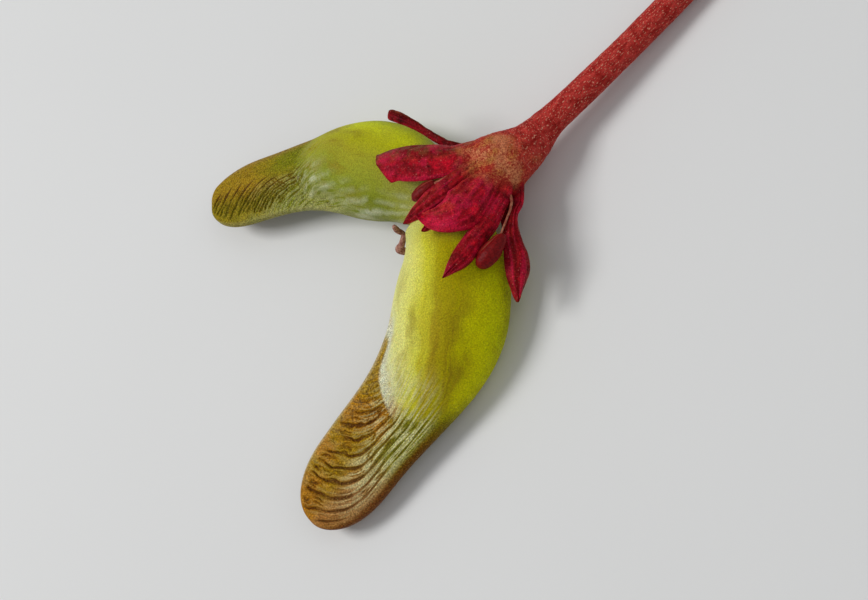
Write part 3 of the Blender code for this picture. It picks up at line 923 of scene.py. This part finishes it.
def nut_colour(skin, share, across, stops, far):
    """Streaked lengthwise, pale by the seam and on the inner side, partly as painted highlight,
    greener outwards.
    """
    turning = skin.maths("MAXIMUM", skin.maths("SUBTRACT", share, 0.33), 0.0)
    lengthwise = skin.offset(across, turning, -1.9)
    wander = skin.maths("SUBTRACT", skin.noise(0.8, 3.0), 0.5)
    lengthwise = skin.offset(lengthwise, wander, 0.4)
    streak = skin.streaks(lengthwise, 4.0, share, 2.5, detail=4.0)
    fine = skin.streaks(lengthwise, 22.0, share, 6.0)
    patch = skin.noise(0.9, 3.0)
    spread = skin.offset(0.38, lengthwise, 0.5)
    spread = skin.offset(spread, streak, 0.16)
    spread = skin.offset(spread, patch, 0.08)
    colour = skin.ramp(spread, stops)

    # Tan streaks, and ochre ones that are partly painted shade, over the plump middle alone.
    plump = skin.product(skin.step(share, 0.16, 0.38), skin.step(share, 0.64, 0.46))
    strength = FAR_STREAKS if far else NEAR_STREAKS
    tan = skin.product(skin.band(lengthwise, 0.02, 0.34), plump, skin.step(streak, 0.30, 0.66))
    colour = skin.paint(colour, STREAK_TAN, tan, strength)
    ochre = skin.product(skin.band(lengthwise, 0.40, 0.36), plump, skin.step(fine, 0.26, 0.66))
    colour = skin.paint(colour, OCHRE_AND_SHADE, ochre, strength)
    colour = skin.vary(colour, fine, 0.12)
    # Ochre patches over the plump middle, partly painted shade.
    shade = skin.streaks(lengthwise, 3.2, share, 7.0, detail=4.0)
    shade = skin.product(skin.step(shade, 0.48, 0.68), plump)
    colour = skin.paint(colour, OCHRE_AND_SHADE, shade, 0.6)
    seam = skin.step(skin.offset(share, patch, 0.12), 0.24, 0.06)
    return skin.paint(colour, SEAM_LIME, seam, 0.8)


def blade_colour(skin, share, across, far):
    """Golden by the inner margin and green in the lanes. The near blade turns mauve and orange
    towards its tip, and the far one stays green for most of its length."""
    vein = skin.value("vein")
    blotch = skin.noise(1.1, 3.0)
    lane = skin.step(skin.offset(across, blotch, 0.5), 0.13, 0.67)
    to_tip = skin.step(skin.offset(share, blotch, 0.12), 0.72, 0.90)
    gold = skin.mix(skin.step(blotch, 0.38, 0.62), FAR_GOLD if far else GOLD_BROWN, GOLD_OLIVE)
    outer = skin.mix(to_tip, LANE_GREEN, FAR_GOLD if far else LANE_MAUVE)
    colour = skin.mix(lane, gold, outer)
    if far:
        reach = skin.offset(share, blotch, 0.2)
        reach = skin.offset(reach, across, 0.10)
        colour = skin.mix(skin.step(reach, 0.90, 0.64), colour, YOUNG_GREEN)
    else:
        orange = skin.product(skin.step(share, 0.86, 0.97), skin.step(blotch, 0.30, 0.55))
        colour = skin.paint(colour, TIP_ORANGE, orange, 0.6)

    dark = skin.mix(lane, GROOVE_PURPLE, skin.mix(to_tip, GROOVE_OLIVE, GROOVE_PURPLE))
    depth = skin.step(skin.value("groove"), 0.15, 0.60 if far else 0.90)
    colour = skin.paint(colour, dark, depth, 0.92)
    colour = skin.paint(colour, GROOVE_PURPLE, skin.value("net"), 0.75)
    return skin.vary(colour, skin.streaks(vein, 66.0, share, 9.0), 0.35)


def margin_colour(skin, colour, share, across, far):
    """Rust along the thick outer margin, or pinkish tan on the far seed, and a thin pale rim
    on the inner one."""
    ragged = skin.offset(across, skin.noise(5.0, 2.0), 0.10)
    if far:
        pink = skin.product(skin.step(ragged, 0.72, 0.98), skin.step(share, 0.40, 0.62))
        colour = skin.paint(colour, EDGE_PINK_TAN, pink, 0.8)
    else:
        rust = skin.product(skin.step(ragged, 0.86, 1.01), skin.step(share, 0.48, 0.66))
        colour = skin.paint(colour, RUST, rust, 0.85)
    rim = skin.product(skin.step(across, -0.90, -0.985), skin.step(share, 0.30, 0.45))
    return skin.paint(colour, RIM_PALE, rim, 0.35 if far else 0.75)


def waxy_sheen_band(skin, colour, share, inner, inside, ragged, patch):
    """The pale wax and painted sheen where the near nut runs out into its blade, widest on the
    inner side.
    """
    band = skin.product(skin.step(inside, 0.01, 0.08), skin.step(ragged, 0.70, 0.22))
    wax = skin.product(band, inner, skin.step(patch, 0.26, 0.50), skin.step(share, 0.12, 0.34))
    # Pale wax and painted sheen along the nut's inner edge.
    return skin.paint(colour, WAX_AND_SHEEN, wax, 0.85)


def crest_wax_and_highlight(skin, colour, share, across, far):
    """Silvery wax and painted highlight on the crests of the veins: on the near seed most of it
    lies where they leave the nut and in the lanes, and on the far one by the inner margin."""
    fibre = skin.streaks(skin.value("vein"), 90.0, share, 12.0)
    crest = skin.product(skin.step(skin.value("groove"), 0.40, 0.0), skin.step(fibre, 0.34, 0.56))
    if far:
        amount = skin.product(skin.step(across, 0.20, -0.20), skin.step(share, 0.90, 0.60), 0.5)
    else:
        by_nut = skin.product(skin.step(share, 0.80, 0.52), skin.step(across, -0.85, -0.20))
        in_lane = skin.product(skin.step(across, -0.30, 0.25), skin.step(share, 1.0, 0.66))
        amount = skin.maths("MAXIMUM", skin.maths("MAXIMUM", by_nut, in_lane), 0.10)
    start = skin.step(skin.offset(share, across, -0.24), 0.32, 0.44)
    amount = skin.product(amount, crest, skin.value("ridged"), start)
    # The crests get pale silver: wax and painted highlight.
    return skin.paint(colour, RIDGE_WAX_HIGHLIGHT, amount, 0.95)


def fold_colour(skin, colour, across, inner, inside, patch):
    """Wax and painted highlight on the crests of the far seed's folds, and darker green between
    them.
    """
    fold = skin.value("fold")
    # Painted highlight, partly wax, on the crests of the folds.
    glint = skin.product(fold, skin.step(patch, 0.36, 0.60), skin.step(across, 0.1, -0.5))
    colour = skin.paint(colour, WAX_AND_SHEEN, glint, 0.75)
    dent = skin.product(skin.step(fold, 0.5, 0.0), skin.step(inside, 0.75, 0.3), inner)
    return skin.paint(colour, YOUNG_GREEN, dent, 0.45)


def seed_skin(name, stops, far):
    """Fresh green seed coat that turns into a golden veined wing."""
    skin = Skin(name)
    share = skin.value("share")
    across = skin.value("across")
    inside = skin.value("inside")
    patch = skin.noise(2.6, 4.0)
    nut = nut_colour(skin, share, across, stops, far)
    blade = blade_colour(skin, share, across, far)
    blade = margin_colour(skin, blade, share, across, far)
    ragged = skin.offset(inside, patch, 0.16)
    coat = skin.step(ragged, *(FAR_COAT if far else NEAR_COAT))
    colour = skin.mix(coat, blade, nut)
    inner = skin.step(across, 0.20, -0.50)
    if not far:
        colour = waxy_sheen_band(skin, colour, share, inner, inside, ragged, patch)
    colour = crest_wax_and_highlight(skin, colour, share, across, far)
    if far:
        colour = fold_colour(skin, colour, across, inner, inside, patch)

    # Skin cells catch the light one by one, more strongly on the dry blade.
    grain = skin.noise(24.0, 3.0)
    colour = skin.vary(colour, grain, 0.7)
    rough_blade = skin.vary((1.0, 1.0, 1.0), grain, 0.9)
    colour = skin.mix(skin.step(inside, 0.40, 0.10), colour, rough_blade, "MULTIPLY")
    sparkle = skin.step(skin.noise(31.0, 1.0), 0.63, 0.72)
    sparkle = skin.product(sparkle, skin.step(inside, 0.6, 0.1))
    colour = skin.paint(colour, SPARKLE_GOLD, sparkle, 0.5)
    roughness = skin.offset(0.64, grain, -0.30)
    return skin.finish(colour, roughness, skin.bump(grain, 0.022), SEED_FLESH)


def root_colour(skin, grain):
    """The granular skin round the top of the stalk: tan and ochre grains among red ones."""
    patch = skin.noise(1.3, 3.0)
    tan = skin.step(skin.offset(grain, patch, 1.9), 1.26, 1.66)
    warm = skin.mix(skin.step(skin.noise(2.2, 2.0), 0.42, 0.58), BASE_TAN, BASE_OCHRE)
    colour = skin.mix(tan, BASE_RED, warm)
    return skin.vary(colour, grain, 0.9)


def petal_skin():
    """Crimson, unevenly dark, olive on some upper sides (partly painted shade), with painted pink
    sheen on the brighter petals, painted highlight on the ribs and painted shade between them,
    painted glints and a pinker rolled lip; tan and granular at the root."""
    skin = Skin("crimson_petal")
    along = skin.value("along")
    across = skin.value("across")
    bright = skin.value("bright")
    rib = skin.value("rib")
    grain = skin.noise(22.0, 3.0)
    mottle = skin.noise(5.0, 4.0)
    colour = skin.mix(bright, DARK_CRIMSON, CRIMSON)
    colour = skin.vary(colour, skin.streaks(along, 5.0, across, 7.0), 0.5)
    # Dark olive over one side: partly the petal's own olive, partly painted shade.
    colour = skin.paint(colour, DUSK_OLIVE, skin.value("dusk"), skin.step(mottle, 0.32, 0.56))
    colour = skin.vary(colour, mottle, 1.4)
    colour = skin.vary(colour, skin.noise(2.2, 3.0), 1.0)
    # Painted sheen: pale pink patches on the brighter petals.
    painted_sheen = skin.product(skin.step(skin.noise(1.8, 3.0), 0.48, 0.62), bright)
    colour = skin.paint(colour, PETAL_SHEEN_PINK, painted_sheen, 0.6)
    # Painted highlight in pink on the rib crests, and painted shade in dark crimson in the furrows
    # between them.
    colour = skin.paint(colour, PETAL_SHEEN_PINK, skin.step(rib, 0.10, 0.45), 0.45)
    colour = skin.paint(colour, DARK_CRIMSON, skin.step(rib, -0.08, -0.40), 0.60)
    colour = skin.paint(colour, DARK_CRIMSON, skin.step(along, 0.95, 1.0), 0.8)
    edge = skin.maths("ABSOLUTE", across)
    rim = skin.product(skin.step(edge, 0.90, 0.99), skin.step(mottle, 0.35, 0.60))
    colour = skin.paint(colour, LIP_PINK, rim, 0.35)
    colour = skin.paint(colour, LIP_PINK, skin.value("lip"), 0.8)
    colour = skin.vary(colour, grain, 1.0)
    # Painted glints: tiny pale specks of highlight on the petals.
    colour = skin.paint(colour, PETAL_GLINT, skin.step(skin.noise(23.0, 2.0), 0.64, 0.73), 0.40)
    root = skin.offset(skin.value("root"), skin.noise(1.7, 4.0), 1.4)
    colour = skin.mix(skin.step(root, 0.85, 1.65), colour, root_colour(skin, grain))
    roughness = skin.offset(0.66, grain, -0.4)
    normal = skin.bump(grain, 0.022, skin.bump(skin.cells(11.0), 0.012))
    return skin.finish(colour, roughness, normal, RED_FLESH)


def stem_skin():
    """Tan and granular at the fruit's base, red-pink along the stalk with pale flecks that are
    partly fine hairs and partly painted glints.
    """
    skin = Skin("red_stalk")
    along = skin.value("along")
    turn = skin.value("turn")
    grain = skin.noise(22.0, 3.0)
    streak = skin.streaks(along, 14.0, turn, 2.6, detail=4.0)
    pink = skin.mix(skin.step(streak, 0.34, 0.64), STALK_RED, STALK_PINK)
    pink = skin.paint(pink, STALK_TAN, skin.step(along, 2.2, 3.0), 0.45)
    pink = skin.vary(pink, grain, 0.8)
    # Pale flecks along the stalk: partly fine hairs, partly painted glints.
    hair_glint = skin.streaks(along, 60.0, turn, 9.0, detail=2.0)
    pink = skin.paint(pink, STALK_HAIR_GLINT, skin.step(hair_glint, 0.58, 0.68), 0.75)
    reach = skin.offset(along, skin.noise(2.0, 3.0), 0.5)
    colour = skin.mix(skin.step(reach, 0.62, 1.02), root_colour(skin, grain), pink)
    colour = skin.mix(skin.value("cut"), colour, CUT_END)
    roughness = skin.offset(0.72, grain, -0.4)
    normal = skin.bump(grain, 0.028, skin.bump(streak, 0.02))
    return skin.finish(colour, roughness, normal, RED_FLESH)


def speckled_skin(name, dark, light, roughness):
    """A small organ's skin: two tones in fine grain, with bumps to match."""
    skin = Skin(name)
    grain = skin.noise(14.0, 4.0)
    colour = skin.mix(skin.step(grain, 0.34, 0.66), dark, light)
    rough = skin.offset(roughness, grain, -0.3)
    return skin.finish(colour, rough, skin.bump(grain, 0.03), {"Specular IOR Level": 0.25})


def anther_skin():
    """Dark crimson lobes, with a pale tan line where the filament joins them."""
    skin = Skin("dark_anther")
    grain = skin.noise(16.0, 3.0)
    colour = skin.mix(skin.step(grain, 0.34, 0.66), ANTHER_DARK, ANTHER_RED)
    joined = skin.band(skin.value("turn"), 1.0, 0.28)
    joined = skin.product(joined, skin.step(skin.value("along"), 0.75, 0.45))
    colour = skin.paint(colour, FILAMENT_PALE, joined, 0.45)
    rough = skin.offset(0.60, grain, -0.3)
    return skin.finish(colour, rough, skin.bump(grain, 0.02), {"Specular IOR Level": 0.12})


def floor_skin():
    skin = Skin("pale_floor")
    tone = skin.mix(skin.noise(0.05, 2.0), FLOOR_GREY, FLOOR_PALE)
    return skin.finish(tone, 0.8, skin.bump(skin.noise(1.5, 2.0), 0.005), {})


# The samara's pieces.


def add_seeds():
    skins = {
        "winged_seed_near": seed_skin("near_seed_skin", NEAR_NUT, far=False),
        "winged_seed_far": seed_skin("far_seed_skin", FAR_NUT, far=True),
    }
    for name, seed in SEEDS.items():
        points, values = seed_rings(seed)
        side = seed["side"]
        cuts = [
            ((0, SEAM_Y + side * SEAM_GAP / 2, 0), (0, -side, 0)),
            ((FRUIT_BASE, 0, 0), (1, 0, 0)),
            ((0, 0, 0), (0, 0, -1)),
        ]
        add_piece(name + "_skin", points, values, skins[name], name, cuts)


def add_petals():
    skin = petal_skin()
    for number, (name, petal) in enumerate(PETALS.items()):
        points, values = petal_rings(name, petal, 11.0 * number)
        add_piece(name, points, values, skin, "calyx")


def add_stamens():
    filament = speckled_skin("pale_filament", FILAMENT_PINK, FILAMENT_PALE, 0.65)
    anther = anther_skin()
    for name, stations in FILAMENTS.items():
        points, _, _, _ = tube_rings(stations, 60, 24)
        add_piece(name, points, {}, filament, "calyx")
    for name, stations in ANTHERS.items():
        points, normal, along, turn = tube_rings(stations, 70, 56, two_lobes)
        points += normal * (0.010 * noise_at(points, 7.0))[..., None]
        add_piece(name, points, {"along": along, "turn": turn}, anther, "calyx")


def add_stem():
    """The receptacle and the stalk share one skin, which follows them from 0 to 1 and on to 3."""
    skin = stem_skin()
    points, normal, along, turn = tube_rings(RECEPTACLE, 170, 170)
    rough = 0.25 + 0.75 * (1 - step_between(along, 0.55, 1.0))
    lumps = 0.030 * noise_at(points, 2.6) + 0.026 * noise_at(points, 7.0, 4.0)
    lumps += 0.014 * noise_at(points, 15.0, 9.0)
    points += normal * (lumps * rough * step_between(along, 0.0, 0.2))[..., None]
    add_piece("receptacle", points, {"along": along, "turn": turn, "cut": 0 * along}, skin, "calyx")

    points, normal, along, turn = tube_rings(STALK, 460, 96)
    streaks = noise_at(np.stack([along * 8, np.cos(turn) * 2.4, np.sin(turn) * 2.4], -1), 1.0)
    relief = 0.012 * streaks + 0.007 * noise_at(points, 7.0)
    points += normal * (relief * (1 - step_between(along, 0.985, 1.0)))[..., None]
    values = {"along": 1 + 2 * along, "turn": turn, "cut": step_between(along, 0.999, 1.0)}
    add_piece("stalk_skin", points, values, skin, "stalk", [((0, 0, 0), (0, 0, -1))])


def add_style():
    skin = speckled_skin("withered_brown", STYLE_BROWN, STYLE_PINK, 0.85)
    for name, stations in STYLE_ARMS.items():
        points, normal, _, _ = tube_rings(stations, 80, 32)
        points += normal * (0.016 * noise_at(points, 6.0))[..., None]
        add_piece(name, points, {}, skin, "style_remnant")


# The studio.


def add_floor():
    mesh = bpy.data.meshes.new("floor")
    corners = [(-1, -1, 0), (1, -1, 0), (1, 1, 0), (-1, 1, 0)]
    mesh.from_pydata([Vector(corner) * FLOOR_REACH for corner in corners], [], [(0, 1, 2, 3)])
    mesh.materials.append(floor_skin())
    floor = add_object("floor", mesh)


def add_light(name, direction, distance, size, power):
    """A soft square lamp that looks at the fruit; distance and size in millimetres."""
    data = bpy.data.lights.new(name, "AREA")
    data.size = size * MM
    data.energy = power
    lamp = add_object(name, data)
    away = Vector(direction).normalized()
    lamp.location = to_metres(LIT_POINT) + away * distance * MM
    lamp.rotation_euler = away.to_track_quat("Z", "Y").to_euler()


def add_studio():
    add_floor()
    for name, lamp in LAMPS.items():
        add_light(name, *lamp)
    world = bpy.data.worlds.new("studio")
    world.use_nodes = True
    background = world.node_tree.nodes["Background"]
    background.inputs["Color"].default_value = SKY
    background.inputs["Strength"].default_value = SKY_STRENGTH
    bpy.context.scene.world = world
    bpy.context.scene.view_settings.view_transform = "Standard"


def add_camera():
    data = bpy.data.cameras.new("photo_camera")
    data.lens = FOCAL_LENGTH
    data.sensor_width = SENSOR_WIDTH
    data.clip_start = 0.001
    data.clip_end = 2.0
    camera = add_object("photo_camera", data)
    camera.location = to_metres(CAMERA_AT)
    turn = Euler((0, 0, math.radians(CAMERA_AZIMUTH))).to_matrix()
    tilt = Euler((math.radians(90 - CAMERA_ELEVATION), 0, 0)).to_matrix()
    roll = Euler((0, 0, math.radians(CAMERA_ROLL))).to_matrix()
    camera.rotation_euler = (turn @ tilt @ roll).to_euler()
    bpy.context.scene.camera = camera


add_seeds()
add_petals()
add_stamens()
add_stem()
add_style()
add_studio()
add_camera()
